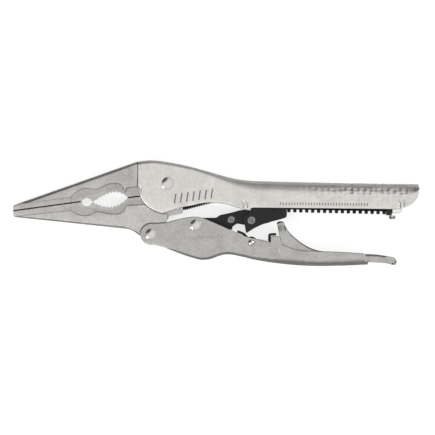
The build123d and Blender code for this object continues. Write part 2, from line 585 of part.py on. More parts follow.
def build_all():
    os.makedirs("parts", exist_ok=True)
    save("upper_handle", upper_handle())
    save("upper_jaw", upper_jaw())
    save("lower_jaw", lower_jaw())
    save("jaw_tail_pin", jaw_tail_pin())
    save("lower_handle", lower_handle())
    save("jaw_pivot_rivet", domed_rivet(JAW_PIVOT, MAIN_RIVET, FLAT_END_RADIUS))
    save("handle_rivet", domed_rivet(HANDLE_PIVOT, HANDLE_RIVET))
    save("link_rivet", domed_rivet(LINK_PIVOT, LINK_RIVET))
    save("release_lever_rivet", domed_rivet(LEVER_PIVOT, LEVER_RIVET))
    save("spring_anchor_pin", disc(SPRING_ANCHOR, ANCHOR_PIN_RADIUS, CHANNEL_WIDTH))
    save("rack", rack())
    save("rack_clip", rack_clip())
    save("rack_stop_screw", rack_stop_screw())
    for name, side in (("near", 1), ("far", -1)):
        save("shoe_plate_" + name, shoe_plate(side))
        save("link_plate_" + name, link_plate(side))
    save("shoe_rivet", flush_rivet(SHOE_PIVOT, SHOE_RIVET, 2 * (SHOE_INNER + SHOE_SHEET)))
    save("shoe_guide_pin", shoe_guide_pin())
    save("link_cross_rivet", flush_rivet(LINK_CROSS, CROSS_RIVET, 2 * (LINK_INNER + LINK_SHEET)))
    save("link_spacer", link_spacer())
    save("link_rings", link_rings())
    save("pawl", pawl())
    save("pawl_spring", pawl_spring())
    save("release_lever", release_lever())
    save("release_spring", release_spring())
    save("jaw_spring", jaw_spring())


build_all()
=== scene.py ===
import math

import bmesh
import bpy
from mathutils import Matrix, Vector


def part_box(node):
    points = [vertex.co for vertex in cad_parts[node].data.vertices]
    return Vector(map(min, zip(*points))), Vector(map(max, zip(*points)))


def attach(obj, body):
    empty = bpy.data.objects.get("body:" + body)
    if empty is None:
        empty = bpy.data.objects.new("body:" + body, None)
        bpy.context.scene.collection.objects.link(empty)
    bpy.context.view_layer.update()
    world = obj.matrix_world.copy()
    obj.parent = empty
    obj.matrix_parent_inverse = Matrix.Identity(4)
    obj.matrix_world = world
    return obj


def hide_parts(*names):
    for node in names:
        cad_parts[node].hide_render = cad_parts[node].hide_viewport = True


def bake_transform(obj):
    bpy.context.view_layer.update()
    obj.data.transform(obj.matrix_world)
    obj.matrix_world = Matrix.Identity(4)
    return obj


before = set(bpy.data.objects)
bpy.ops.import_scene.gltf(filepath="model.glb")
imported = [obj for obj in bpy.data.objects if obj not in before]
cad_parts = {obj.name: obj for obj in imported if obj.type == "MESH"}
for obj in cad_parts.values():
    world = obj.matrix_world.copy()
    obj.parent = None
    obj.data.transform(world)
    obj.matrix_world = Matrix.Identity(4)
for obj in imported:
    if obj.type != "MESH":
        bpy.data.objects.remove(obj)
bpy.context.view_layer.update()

# ---- Upper handle -----------------------------------------------------------------------------
# One blank of 1.8 mm steel bent into a channel that is open underneath: a tight bend over the
# bulb at the jaw end, a full round back on the grip, a rounded heel that is open at the rear.
MM = 0.001
MID = 8.0                      # middle plane of the tool over the plane it rests on
SHEET = 1.8                    # thickness of the handles' sheet
CHANNEL_WIDTH = 14.0
STATION_STEP = 0.62            # between the rulings that a channel is bent along
WELD = 0.000002                # corners nearer than this, in metres, are one


class Line:
    """A node's output that takes part in sums."""

    def __init__(self, bench, socket):
        self.bench = bench
        self.socket = socket

    def __add__(self, other):
        return self.bench.math("ADD", self, other)

    def __sub__(self, other):
        return self.bench.math("SUBTRACT", self, other)

    def __rsub__(self, other):
        return self.bench.math("SUBTRACT", other, self)

    def __mul__(self, other):
        return self.bench.math("MULTIPLY", self, other)

    def __truediv__(self, other):
        return self.bench.math("DIVIDE", self, other)

    __radd__ = __add__
    __rmul__ = __mul__


class Bench:
    """Adds nodes to one tree: settings first, then the values or links of the sockets."""

    def __init__(self, tree):
        self.tree = tree

    def add(self, kind, settings=None, *terms, out=0, **named):
        node = self.tree.nodes.new(kind)
        for key, value in (settings or {}).items():
            if key == "stops":
                ramp = node.color_ramp.elements
                ramp[0].position, ramp[0].color = value[0]
                ramp[1].position, ramp[1].color = value[-1]
                for place, colour in value[1:-1]:
                    ramp.new(place).color = colour
            else:
                setattr(node, key, value)
        pairs = list(zip(node.inputs, terms))
        pairs += [(node.inputs[key.replace("_", " ")], value) for key, value in named.items()]
        for socket, value in pairs:
            if isinstance(value, Line):
                self.tree.links.new(value.socket, socket)
            elif value is not None:
                socket.default_value = value
        return Line(self, node.outputs[out])

    def math(self, operation, *terms):
        return self.add("ShaderNodeMath", {"operation": operation}, *terms)

    def vector(self, operation, *terms, **named):
        return self.add("ShaderNodeVectorMath", {"operation": operation}, *terms, **named)


def grey(level):
    return (level, level, level, 1)


def metal(name, tint, rough, cloud=0.10, grain=0.05, grain_size=1.2, rub=0.25, metallic=1.0,
          painted_shade_depth=0.55, reach=3.0, specular=0.5, tilt_shade_depth=0.5):
    """Worn metal, with painted shade. cloud: unevenness of the tint; grain: depth of the finish, and its
    size; rub: how
    bright the worn edges are; painted_shade_depth: how dark the painted shade is where pieces meet,
    within reach, in place of contact shadows; tilt_shade_depth:
    how dark the painted shade is on sides and bends that tilt away from the flat faces."""
    finish = bpy.data.materials.new(name)
    finish.use_nodes = True
    bench = Bench(finish.node_tree)
    shader = finish.node_tree.nodes["Principled BSDF"]
    place = bench.add("ShaderNodeTexCoord", out="Object")
    clouds = bench.add("ShaderNodeTexNoise", None, place, Scale=110.0, Detail=5.0, Roughness=0.65)
    specks = bench.add("ShaderNodeTexNoise", None, place, Scale=1000.0 / grain_size, Detail=3.0)
    strokes = bench.add("ShaderNodeMapping", None, place, Scale=(140.0, 1900.0, 400.0))
    strokes = bench.add("ShaderNodeTexNoise", None, strokes, Scale=1.0, Detail=3.0, Roughness=0.7)
    corner = bench.add("ShaderNodeNewGeometry", out="Pointiness")
    corner = bench.add("ShaderNodeMapRange", None, corner, 0.505, 0.56, 0.0, 1.0)
    # painted shade: ambient occlusion darkens the colour where pieces meet and in hollows, in place of
    # contact shadows
    painted_shade_ao = bench.add("ShaderNodeAmbientOcclusion", {"samples": 6}, Distance=reach * MM, out="AO")
    painted_shade_ao = bench.add("ShaderNodeMapRange", None, painted_shade_ao, 0.15, 0.85, painted_shade_depth, 1.0)
    level = 1 - cloud / 4 + (clouds - 0.5) * cloud * 2 + (specks - 0.5) * cloud * 1.4
    # painted shade: the colour darkens as the surface tilts away from facing straight up or down, in
    # place of the dark surroundings it would reflect
    painted_tilt_shade = bench.add("ShaderNodeTexCoord", out="Normal")
    painted_tilt_shade = bench.add("ShaderNodeSeparateXYZ", None, painted_tilt_shade, out="Z")
    painted_tilt_shade = bench.math("ABSOLUTE", painted_tilt_shade)
    painted_tilt_shade = bench.add("ShaderNodeMapRange", None, painted_tilt_shade, 0.5, 0.99, tilt_shade_depth, 1.0)
    level = (level + corner * rub) * painted_shade_ao * painted_tilt_shade
    colour = bench.add("ShaderNodeMix", {"data_type": "RGBA", "blend_type": "MULTIPLY"}, out=2)
    mix = colour.socket.node
    mix.inputs[0].default_value = 1.0
    mix.inputs[6].default_value = (*tint, 1)
    finish.node_tree.links.new(level.socket, mix.inputs[7])
    finish.node_tree.links.new(colour.socket, shader.inputs["Base Color"])
    shine = rough + (clouds - 0.5) * 0.12 + (strokes - 0.5) * 0.12 - corner * 0.05
    finish.node_tree.links.new(shine.socket, shader.inputs["Roughness"])
    relief = specks * 0.6 + strokes * 0.4
    bump = bench.add("ShaderNodeBump", None, Strength=0.35, Distance=grain * MM, Height=relief)
    finish.node_tree.links.new(bump.socket, shader.inputs["Normal"])
    shader.inputs["Metallic"].default_value = metallic
    shader.inputs["Specular IOR Level"].default_value = specular
    return finish


def curve_through(knots, at):
    """Smooth curve through rows of numbers whose first number is the run along the piece."""
    last = len(knots) - 1
    k = next((i for i in range(last) if at <= knots[i + 1][0]), last - 1)
    p0, p1 = knots[k], knots[k + 1]
    width = p1[0] - p0[0]
    t = min(max((at - p0[0]) / width, 0.0), 1.0)

    def slope(i, j):
        low, high = knots[max(i - 1, 0)], knots[min(i + 1, last)]
        return (high[j] - low[j]) / (high[0] - low[0])

    row = []
    for j in range(1, len(p0)):
        m0, m1 = slope(k, j) * width, slope(k + 1, j) * width
        row.append((2 * t ** 3 - 3 * t ** 2 + 1) * p0[j] + (t ** 3 - 2 * t ** 2 + t) * m0
                   + (3 * t ** 2 - 2 * t ** 3) * p1[j] + (t ** 3 - t ** 2) * m1)
    return row


def ease(x, low, high):
    t = min(max((x - low) / (high - low), 0.0), 1.0)
    return t * t * (3 - 2 * t)


CUT_EDGE = ((0.0, 0.3), (0.12, 0.1), (0.4, 0.0))     # softened end: run from the cut, inset


def rails(runs, step):
    """Stations along a bent channel. Each knot: back point, lip point, bend depth and width, how
    much it is hammered, and 1 where the web is left out."""
    stations = []
    for k, run in enumerate(runs):
        reach = [0.0]
        for a, b in zip(run, run[1:]):
            reach.append(reach[-1] + max(math.dist(a[:2], b[:2]), math.dist(a[2:4], b[2:4])))
        knots = [(s, *row) for s, row in zip(reach, run)]
        count = max(1, round(reach[-1] / step))
        stops = [(reach[-1] * i / count, 0.0) for i in range(count + 1)]
        if k == 0:
            stops[:1] = CUT_EDGE
        if k == len(runs) - 1:
            stops[-1:] = [(reach[-1] - run_in, inset) for run_in, inset in reversed(CUT_EDGE)]
        for at, inset in sorted(stops):
            row = curve_through(knots, at) + [inset]
            if stations and math.dist(row[:4], stations[-1][:4]) < 0.03:
                continue
            stations.append(row)
    mesh = bpy.data.meshes.new("rails")
    points = [(s[0] * MM, s[1] * MM, MID * MM) for s in stations]
    points += [(s[2] * MM, s[3] * MM, MID * MM) for s in stations]
    mesh.from_pydata(points, [], [])
    for name, column, unit in (("depth", 4, MM), ("width", 5, MM), ("hammer", 6, 1.0), ("mouth", 7, 1.0),
                               ("inset", 8, MM)):
        values = mesh.attributes.new(name, "FLOAT", "POINT")
        for i, s in enumerate(stations):
            values.data[i].value = s[column] * unit
    return mesh, len(stations)


WEB_SHARE, BEND_SHARE = 4 / 36, 22 / 36      # rows across half a channel: web, then bend, then cheek


def start_tree(name, outlet, **inlets):
    """A geometry tree: its bench, and its named inputs by kind."""
    tree = bpy.data.node_groups.new(name, "GeometryNodeTree")
    for label, kind in inlets.items():
        tree.interface.new_socket(label.replace("_", " "), in_out="INPUT",
                                  socket_type="NodeSocket" + kind)
    tree.interface.new_socket(outlet, in_out="OUTPUT", socket_type="NodeSocketGeometry")
    bench = Bench(tree)
    source = tree.nodes.new("NodeGroupInput")
    return bench, {s.name: Line(bench, s) for s in source.outputs if s.name}


def end_tree(bench, part, finish):
    """Gives the part its finish and hands back the tree."""
    part = bench.add("GeometryNodeRealizeInstances", None, part)
    part = bench.add("GeometryNodeSetMaterial", None, part, Material=finish)
    sink = bench.tree.nodes.new("NodeGroupOutput")
    bench.tree.links.new(part.socket, sink.inputs[0])
    return bench.tree


def channel_tree():
    """Sheet bent round a back line: web, bend and cheek on each side, between two rails."""
    bench, inlet = start_tree("bent_channel", "Sheet", Rails="Geometry", Stations="Int", Rows="Int",
                              Channel_Width="Float", Hammer_Depth="Float", Finish="Material")
    grid = bench.add("GeometryNodeMeshGrid", None, 1.0, 1.0, inlet["Stations"], inlet["Rows"])
    index = bench.add("GeometryNodeInputIndex")
    station = bench.math("FLOOR", (index + 0.5) / inlet["Rows"])
    row = index - station * inlet["Rows"]
    across = row / (inlet["Rows"] - 1) * 2 - 1
    side = bench.math("SIGN", across)
    out = bench.math("ABSOLUTE", across)

    def share(low, high):
        return bench.add("ShaderNodeMapRange", None, out, low, high, 0.0, 1.0)

    def along(value, data, at):
        return bench.add("GeometryNodeSampleIndex", {"data_type": data, "domain": "POINT"},
                         inlet["Rails"], value, at)

    def mark(name):
        value = bench.add("GeometryNodeInputNamedAttribute", {"data_type": "FLOAT"}, name)
        return along(value, "FLOAT", station)

    spot = bench.add("GeometryNodeInputPosition")
    back = along(spot, "FLOAT_VECTOR", station)
    lip = along(spot, "FLOAT_VECTOR", station + inlet["Stations"])
    half = (inlet["Rows"] - 1) / 2
    from_lip = (1 - out) * half                  # rows counted from the lip
    first = bench.add("ShaderNodeClamp", None, from_lip)
    second = bench.add("ShaderNodeClamp", None, from_lip - 1)
    rest = bench.add("ShaderNodeClamp", None, (from_lip - 2) / (half * (1 - BEND_SHARE) - 2))
    web, cheek = share(0.0, WEB_SHARE), share(BEND_SHARE, 1.0)
    turn = share(WEB_SHARE, BEND_SHARE) * (math.pi / 2)
    ruling = bench.vector("SUBTRACT", lip, back)
    length = bench.vector("LENGTH", ruling, out="Value")
    way = bench.vector("NORMALIZE", ruling)
    depth = bench.math("MINIMUM", mark("depth"), length * 0.6)
    width = mark("width")
    roll = mark("inset") + (1 - first) * 0.2 * MM + (1 - second) * 0.1 * MM
    rise = side * ((inlet["Channel Width"] / 2 - width) * web - roll
                   + width * bench.math("SINE", turn))
    on_cheek = bench.math("GREATER_THAN", out, BEND_SHARE + 0.005)
    edge = (first * 0.12 + second * 0.28) * MM
    down = length - edge - (length - depth - 0.4 * MM) * rest
    bent = depth * (1 - bench.math("COSINE", turn))
    drop = bent + (down - bent) * on_cheek
    place = bench.vector("SCALE", way, Scale=drop)
    place = bench.vector("ADD", back, place)
    lift = bench.add("ShaderNodeCombineXYZ", None, 0.0, 0.0, rise)
    place = bench.vector("ADD", place, lift)
    sheet = bench.add("GeometryNodeSetPosition", None, grid, Position=place)
    blows = bench.vector("MULTIPLY", spot, (240.0, 430.0, 430.0))
    blows = bench.add("ShaderNodeTexVoronoi", {"feature": "F1"}, blows, Scale=1.0, Randomness=0.35)
    blows = bench.add("ShaderNodeMapRange", None, blows, 0.0, 0.75, 0.0, 1.0)
    dent = (blows - 1) * inlet["Hammer Depth"] * mark("hammer") * (1 - cheek)
    normal = bench.add("GeometryNodeInputNormal")
    centre = bench.vector("SCALE", way, Scale=depth * 1.5)
    centre = bench.vector("ADD", back, centre)
    outward = bench.vector("SUBTRACT", spot, centre)
    outward = bench.vector("DOT_PRODUCT", outward, normal, out="Value")
    outward = bench.math("SIGN", outward)
    dent = bench.vector("SCALE", normal, Scale=dent * outward)
    sheet = bench.add("GeometryNodeSetPosition", None, sheet, Offset=dent)
    open_web = bench.add("FunctionNodeCompare", {"data_type": "FLOAT", "operation": "GREATER_THAN"},
                         mark("mouth") - out, 1.01 - BEND_SHARE)
    sheet = bench.add("GeometryNodeDeleteGeometry", {"domain": "POINT"}, sheet, open_web)
    return end_tree(bench, sheet, inlet["Finish"])


def plain(work, name):
    """The finished mesh of an object and its modifiers; the object itself goes."""
    graph = bpy.context.evaluated_depsgraph_get()
    mesh = bpy.data.meshes.new_from_object(work.evaluated_get(graph), depsgraph=graph)
    mesh.name = name
    bpy.data.objects.remove(work)
    return mesh


def opened(mesh):
    bm = bmesh.new()
    bm.from_mesh(mesh)
    return bm


def closed(bm, mesh):
    """Writes the corners and faces back, and lets go of them."""
    bm.to_mesh(mesh)
    bm.free()
    return mesh


def smooth_faces(mesh):
    mesh.polygons.foreach_set("use_smooth", [True] * len(mesh.polygons))


def grown(tree, **inlets):
    """The modifier that runs a geometry tree, and what it is fed."""
    return "NODES", {"node_group": tree, "inputs": {k.replace("_", " "): v for k, v in inlets.items()}}


def set_up(name, data, *modifiers):
    """A working object with modifiers, each a kind and its settings."""
    work = bpy.data.objects.new(name + "_work", data)
    bpy.context.scene.collection.objects.link(work)
    for kind, settings in modifiers:
        modifier = work.modifiers.new(kind.lower(), kind)
        inputs = settings.pop("inputs", {})
        for key, value in settings.items():
            setattr(modifier, key, value)
        for item in (modifier.node_group.interface.items_tree if inputs else ()):
            if item.in_out == "INPUT" and item.name in inputs:
                modifier[item.identifier] = inputs[item.name]
    return work


def rounded(width, angle=35, segments=2):
    """Softened edges, with the large faces kept flat."""
    return [("BEVEL", {"width": width * MM, "segments": segments, "limit_method": "ANGLE",
                       "angle_limit": math.radians(angle), "use_clamp_overlap": False}),
            ("WEIGHTED_NORMAL", {"weight": 50})]


def add_piece(name, mesh, body, slot, *nodes, finish=None):
    piece = bpy.data.objects.new(name, mesh)
    bpy.context.scene.collection.objects.link(piece)
    if finish:
        mesh.materials.clear()
        mesh.materials.append(finish)
    smooth_faces(mesh)
    if nodes:
        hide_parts(*nodes)
    if body:
        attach(piece, body)
    return piece


bent_channel = channel_tree()


def channel(name, runs, step, width, finish, hammer=0.0, rows=73):
    mesh, count = rails(runs, step)
    return set_up(name, mesh, grown(bent_channel, Stations=count, Rows=rows, Channel_Width=width * MM,
                                    Hammer_Depth=hammer * MM, Finish=finish))


def walled(work, sheet, name):
    """Gives the bent sheet its thickness, inwards."""
    mesh = plain(work, name)
    bm = opened(mesh)
    bmesh.ops.remove_doubles(bm, verts=bm.verts, dist=WELD)
    bmesh.ops.recalc_face_normals(bm, faces=bm.faces)
    middle = max(bm.faces, key=lambda f: f.calc_center_median().z * (f.normal.z ** 2 > 0.98))
    if middle.normal.z < 0:
        bmesh.ops.reverse_faces(bm, faces=bm.faces)
    closed(bm, mesh)
    wall = ("SOLIDIFY", {"thickness": sheet * MM, "offset": -1.0, "use_rim": True})
    mesh = plain(set_up(name, mesh, wall), name)
    mesh.set_sharp_from_angle(angle=math.radians(50))
    return mesh


def bend(x):
    """Depth and width of the upper handle's bend: tight at the bulb, full round on the grip."""
    grip = ease(x, 18.0, 66.0)
    return 2.8 + 5.9 * grip, 3.0 + 3.5 * grip


CHEEK_RADIUS = 20.9            # round front of the cheeks, about the jaw pivot at the frame's origin
REAR_CUT, HEEL_FROM, HEEL_TOP = 172.9, 170.0, -0.42    # the rear end is trimmed to these
RIDGE = [(-20.6, 15.2), (-12.0, 15.98), (-2.5, 15.1), (14.1, 11.9), (30.6, 7.4), (43.0, 4.0),
         (52.7, 2.3), (64.0, 1.5), (80.0, 1.2), (110.0, 0.66), (140.0, 0.12), (172.0, -0.46)]


def upper_knot(back_x, lip_x, lip_y):
    hammered = ease(back_x, 84.0, 106.0) * (1 - ease(back_x, 162.0, 167.0))
    return (back_x, curve_through(RIDGE, back_x)[0], lip_x, lip_y, *bend(back_x), hammered, 0.0)


def round_front(degrees, back_x):
    angle = math.radians(degrees)
    return upper_knot(back_x, CHEEK_RADIUS * math.cos(angle), CHEEK_RADIUS * math.sin(angle))


upper_runs = [
    [upper_knot(-20.6, -20.6, -1.4), upper_knot(-16.5, -18.2, -3.4)],
    [upper_knot(-16.5, -18.2, -3.4), upper_knot(-12.5, -18.2, -4.8), upper_knot(-8.4, -18.2, -6.2)],
    [round_front(a, -7.9 + (a + 156.3) / 56.3 * 6.8)
     for a in (-156.3, -147, -137, -127, -118, -109, -100)],
    [upper_knot(-1.1, -3.63, -20.58), upper_knot(3.0, 1.5, -18.9), upper_knot(8.7, 8.1, -16.8),
     upper_knot(16.6, 16.6, -15.2), upper_knot(23.5, 23.5, -13.7), upper_knot(30.9, 30.9, -13.2),
     upper_knot(38.4, 38.4, -13.9), upper_knot(45.2, 45.2, -15.6), upper_knot(50.4, 50.4, -17.2),
     upper_knot(54.4, 54.4, -17.9), upper_knot(58.5, 58.5, -16.7)],
    [upper_knot(58.5, 58.5, -16.7), upper_knot(80, 80, -16.91), upper_knot(120, 120, -17.31),
     upper_knot(158.6, 158.6, -17.7)],
    [upper_knot(158.6, 158.6, -17.7), upper_knot(163.6, 163.4, -16.35)],
    [upper_knot(163.6, 163.4, -16.35), upper_knot(166.8, 166.6, -14.8), upper_knot(169.2, 169.0, -12.9),
     upper_knot(170.9, 170.8, -10.7), upper_knot(171.9, 171.95, -8.5), upper_knot(172.4, 172.6, -6.2)],
]

# the stamped marks' dark tint is painted shade, in place of the shade inside stamped lines
painted_stamp_shade = metal("stamp_marks_painted_shade", (0.16, 0.157, 0.15), 0.5, cloud=0.3, rub=0.1, tilt_shade_depth=0.8)
nickel = metal("satin_nickel", (0.55, 0.54, 0.515), 0.33, cloud=0.24, grain=0.1,
               painted_shade_depth=0.22, reach=1.6)

GROOVES = ((51.5, -14.4), (54.3, -14.4), (159.4, -13.8), (161.9, -13.8))   # where the rack is held


def crimp(mesh, depth=0.85, half_height=2.9, half_width=0.42):
    """Presses the crimping tool's grooves into both cheeks."""
    for vert in mesh.vertices:
        x, y = vert.co.x / MM, vert.co.y / MM
        push = sum(math.exp(-((x - gx) / half_width) ** 2)
                   * (1 - ease(abs(y - gy), half_height - 0.8, half_height + 0.3)) for gx, gy in GROOVES)
        if push > 0.01:
            side = 1 if vert.co.z > MID * MM else -1
            vert.co.z -= side * depth * min(push, 1.0) * MM


upper_work = channel("upper_handle", upper_runs, STATION_STEP, CHANNEL_WIDTH, nickel, hammer=0.55)
upper_mesh = walled(upper_work, SHEET, "upper_handle_channel")
crimp(upper_mesh)
for vert in upper_mesh.vertices:             # nothing stands past the rear cut
    vert.co.x = min(vert.co.x, REAR_CUT * MM)
    if vert.co.x > HEEL_FROM * MM:
        vert.co.y = min(vert.co.y, HEEL_TOP * MM)
add_piece("upper_handle_channel", upper_mesh, "upper_handle", "satin_steel", "upper_handle")

# ---- Jaws -------------------------------------------------------------------------------------
# Drop forgings, ground to a long tapered nose: fine teeth, a small round grip hole, a coarse
# toothed throat with a coined recess round it, and a shallow ground band that runs to the tip.
forged = metal("forged_nickel", (0.375, 0.366, 0.352), 0.36, cloud=0.34, grain=0.16, grain_size=1.6,
               painted_shade_depth=0.05, reach=1.4, rub=0.2)


def flattened(bm, weld):
    bmesh.ops.remove_doubles(bm, verts=bm.verts, dist=weld)
    bmesh.ops.dissolve_limit(bm, angle_limit=math.radians(1.0), verts=bm.verts, edges=bm.edges)


def cad_copy(node):
    """Copy of a CAD solid: loose corners joined, flat faces made whole."""
    bm = opened(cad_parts[node].data)
    flattened(bm, WELD)
    mesh = closed(bm, bpy.data.meshes.new(node + "_copy"))
    smooth_faces(mesh)
    return mesh


def wedge(outline, low):
    """Cutter for both faces: outline in the side view, its inner face at height low(x)."""
    bm = bmesh.new()
    for side in (-1, 1):
        deep = [bm.verts.new((x * MM, y * MM, (MID + side * low(x)) * MM)) for x, y in outline]
        high = [bm.verts.new((x * MM, y * MM, (MID + side * 9.0) * MM)) for x, y in outline]
        bm.faces.new(deep)
        bm.faces.new(high[::-1])
        for i in range(len(outline)):
            j = (i + 1) % len(outline)
            bm.faces.new((deep[i], high[i], high[j], deep[j]))
    bmesh.ops.recalc_face_normals(bm, faces=bm.faces)
    return closed(bm, bpy.data.meshes.new("wedge"))


def nose_half(x):
    """Half thickness of the jaws along the tapered nose."""
    return 3.0 + 3.8 * (x + 106.6) / 78.6


def band_half(x):
    """The same at the ground band."""
    return nose_half(x) - 0.4


def recess_half(x):
    """The same at the ground band and in the coined recess behind it."""
    return min(band_half(x), 4.2)


def face_half(x):
    """The same at the jaws' full faces."""
    return min(nose_half(x), 6.8)


ROUND_EDGE = ((1.7, -0.01), (0.95, 0.22), (0.38, 0.72), (-0.01, 1.6), (-3.0, 1.6), (-3.0, -3.0),
              (1.7, -3.0))                       # inwards from the path, down from the face
PARTING = ((0.42, -0.01), (0.0, 1.0), (-0.42, -0.01), (-0.42, -3.0), (0.42, -3.0))


def along_faces(path, section, height):
    """Cutters on both faces of a jaw: a section that follows a path in the side view."""
    bm = bmesh.new()
    for side in (-1, 1):
        rings = []
        for i, (x, y) in enumerate(path):
            before, after = path[max(i - 1, 0)], path[min(i + 1, len(path) - 1)]
            run = Vector((after[0] - before[0], after[1] - before[1])).normalized()
            top = height(x)
            rings.append([bm.verts.new(((x + run.y * inward) * MM, (y - run.x * inward) * MM,
                                        (MID + side * (top - down)) * MM)) for inward, down in section])
        bm.faces.new(rings[0])
        bm.faces.new(rings[-1][::-1])
        for one, two in zip(rings, rings[1:]):
            for i in range(len(one)):
                j = (i + 1) % len(one)
                bm.faces.new((one[i], two[i], two[j], one[j]))
    bmesh.ops.recalc_face_normals(bm, faces=bm.faces)
    return closed(bm, bpy.data.meshes.new("cutter"))


NOSE_LINE = ((-106.2, -18.9), (-60.0, -12.65))     # where the jaws meet, at the nose
BACK_LINE = ((-27.8, -9.8), (-9.2, -7.3))          # and behind the throat
NOSE_TEETH, TOOTH_DEPTH = 28, 0.45


def zigzag(line, teeth, depth):
    """Points along a line, every second one a tooth's depth above it."""
    (x0, y0), (x1, y1) = line
    shares = [i / (2 * teeth) for i in range(2 * teeth + 1)]
    return [(x0 + (x1 - x0) * share, y0 + (y1 - y0) * share + depth * (i % 2))
            for i, share in enumerate(shares)]


NOSE_CUT = [(-108.5, -19.2)] + zigzag(NOSE_LINE, NOSE_TEETH, TOOTH_DEPTH)
BACK_CUT = [(-27.4, -9.75), (-9.0, -7.27)]


def close_parting(mesh, way, gap=0.12, touch=0.03):
    """Brings the working edges together: the nose teeth mesh, and the steps behind the throat touch."""
    for vert in mesh.vertices:
        x, y = vert.co.x / MM, vert.co.y / MM
        for line in (NOSE_LINE, BACK_LINE):
            (x0, y0), (x1, y1) = line
            off = y - y0 - (y1 - y0) * (x - x0) / (x1 - x0)
            if x0 - 0.6 < x < x1 + 0.3 and abs(off) < 0.75:
                if line is NOSE_LINE and way > 0:      # the lower row fills the gaps of the upper one
                    root = 0.0 if abs(off) < 0.35 else TOOTH_DEPTH
                    vert.co.y += (root - touch - off) * MM
                else:
                    vert.co.y += way * gap * MM
                break


def forged_jaw(name, node, band, path, way):
    """A jaw from its CAD solid; way is 1 where its partner lies above it."""
    blank = cad_copy(node)
    close_parting(blank, way)
    cutters = [set_up("band", wedge(band, band_half)),
               set_up("edge", along_faces(path, ROUND_EDGE, face_half)),
               set_up("nose", along_faces(NOSE_CUT, PARTING, recess_half)),
               set_up("steps", along_faces(BACK_CUT, PARTING, recess_half))]
    cuts = [("BOOLEAN", {"operation": "DIFFERENCE", "solver": "EXACT", "object": cutter})
            for cutter in cutters]
    mesh = plain(set_up(name, blank, *cuts), name)
    for cutter in cutters:
        bpy.data.objects.remove(cutter)
    bm = opened(mesh)
    flattened(bm, WELD * 10)
    closed(bm, mesh)
    smooth_faces(mesh)
    return plain(set_up(name, mesh, *rounded(0.1, 32)), name)


# Outlines in the side view: what the ground bands take off, and the outer edges that are rounded.
upper_band = [(-108, -15.0), (-105.4, -14.6), (-66.9, -9.3), (-65.6, -9.3), (-65.6, -22), (-108, -22)]
lower_band = [(-108, -22.9), (-108, -12), (-65.6, -12), (-65.6, -18.9), (-66.9, -18.8), (-104.3, -22.6)]
crown = [(-108.5, -15.67), (-28.0, 12.4), (-19.5, 15.36)]
belly = [(-19.4, -35.6), (-21.2, -34.2), (-23.4, -32.9), (-26.5, -31.7), (-30.0, -31.0),
         (-108.5, -22.82)]
mesh = forged_jaw("upper_jaw_forging", "upper_jaw", upper_band, crown, -1)
add_piece("upper_jaw_forging", mesh, "upper_handle", "forged_steel", "upper_jaw", finish=forged)
mesh = forged_jaw("lower_jaw_forging", "lower_jaw", lower_band, belly, 1)
add_piece("lower_jaw_forging", mesh, "lower_jaw", "forged_steel", "lower_jaw", finish=forged)

# ---- Lower handle -----------------------------------------------------------------------------
# The hand lever: the same sheet bent into a channel that is open on top, round lug in front,
# hump over the link, raised ear for the release spring, and a cut rear end.
HANDLE_PIVOT = (-11.5, -34.9)
LUG_RADIUS = 7.5
MOUTH_END = -1.5               # in front of it the web is left out, so that the jaw's lug fits in
BELLY = [(-10.2, -42.3), (-2.5, -44.0), (8.6, -48.4), (19.6, -51.9), (25.1, -52.7), (30.6, -51.7),
         (36.2, -49.5), (41.7, -48.7), (47.2, -49.3), (58.2, -52.2), (69.3, -54.2), (85.8, -56.1),
         (102.4, -56.9), (120.0, -56.65), (137.9, -55.9)]


def lower_knot(x, lip_y, lip_x=None, back=None):
    mouth = x < MOUTH_END
    tight = 0.0 if mouth else ease(x, -2.5, 8.0)
    rear = ease(x, 52.0, 88.0)
    depth, width = 0.05 + 2.75 * tight + 2.2 * rear, 0.05 + 2.75 * tight + 2.4 * rear
    bx, by = back or (x, curve_through(BELLY, x)[0])
    return (bx, by, x if lip_x is None else lip_x, lip_y, depth, width, ease(x, 60, 90), float(mouth))


def lug(share):
    """Round front of the cheeks, from the foremost point round to the belly and the lip."""
    low, high = math.radians(185 + 95 * share), math.radians(185 - 90 * share)
    back, lip = ((HANDLE_PIVOT[0] + LUG_RADIUS * math.cos(a), HANDLE_PIVOT[1] + LUG_RADIUS * math.sin(a))
                 for a in (low, high))
    return lower_knot(back[0], lip[1], lip[0], back)


lower_runs = [
    [lug(0.05 + 0.95 * i / 10) for i in range(11)],
    [lower_knot(-10.2, -27.43, -12.15), lower_knot(-6.4, -27.5, -7.2), lower_knot(-1.6, -26.9)],
    [lower_knot(-1.4, -26.85), lower_knot(4.0, -25.3), lower_knot(12.0, -23.5), lower_knot(18.4, -22.8),
     lower_knot(23.0, -23.4), lower_knot(28.4, -25.4)],
    [lower_knot(28.4, -25.4), lower_knot(40.0, -30.5), lower_knot(52.6, -36.1), lower_knot(58.2, -37.5),
     lower_knot(70.8, -40.6)],
    [lower_knot(70.9, -36.5), lower_knot(71.2, -36.3), lower_knot(76.2, -36.3)],
    [lower_knot(76.5, -36.5), lower_knot(78.4, -42.0)],
    [lower_knot(78.4, -42.0), lower_knot(84.0, -44.3), lower_knot(91.0, -46.0), lower_knot(102.7, -46.6),
     lower_knot(119.0, -47.2), lower_knot(135.3, -48.3)],
    [lower_knot(135.4, -48.4), lower_knot(136.1, -50.1), lower_knot(137.6, -52.0)],
]
stamped = metal("handle_nickel", (0.385, 0.376, 0.362), 0.35, cloud=0.3, grain=0.14,
                grain_size=1.4, painted_shade_depth=0.2, reach=1.6, tilt_shade_depth=0.3)
lower_work = channel("lower_handle", lower_runs, STATION_STEP, CHANNEL_WIDTH, stamped, hammer=0.14)
lower_mesh = walled(lower_work, SHEET, "lower_handle_channel")
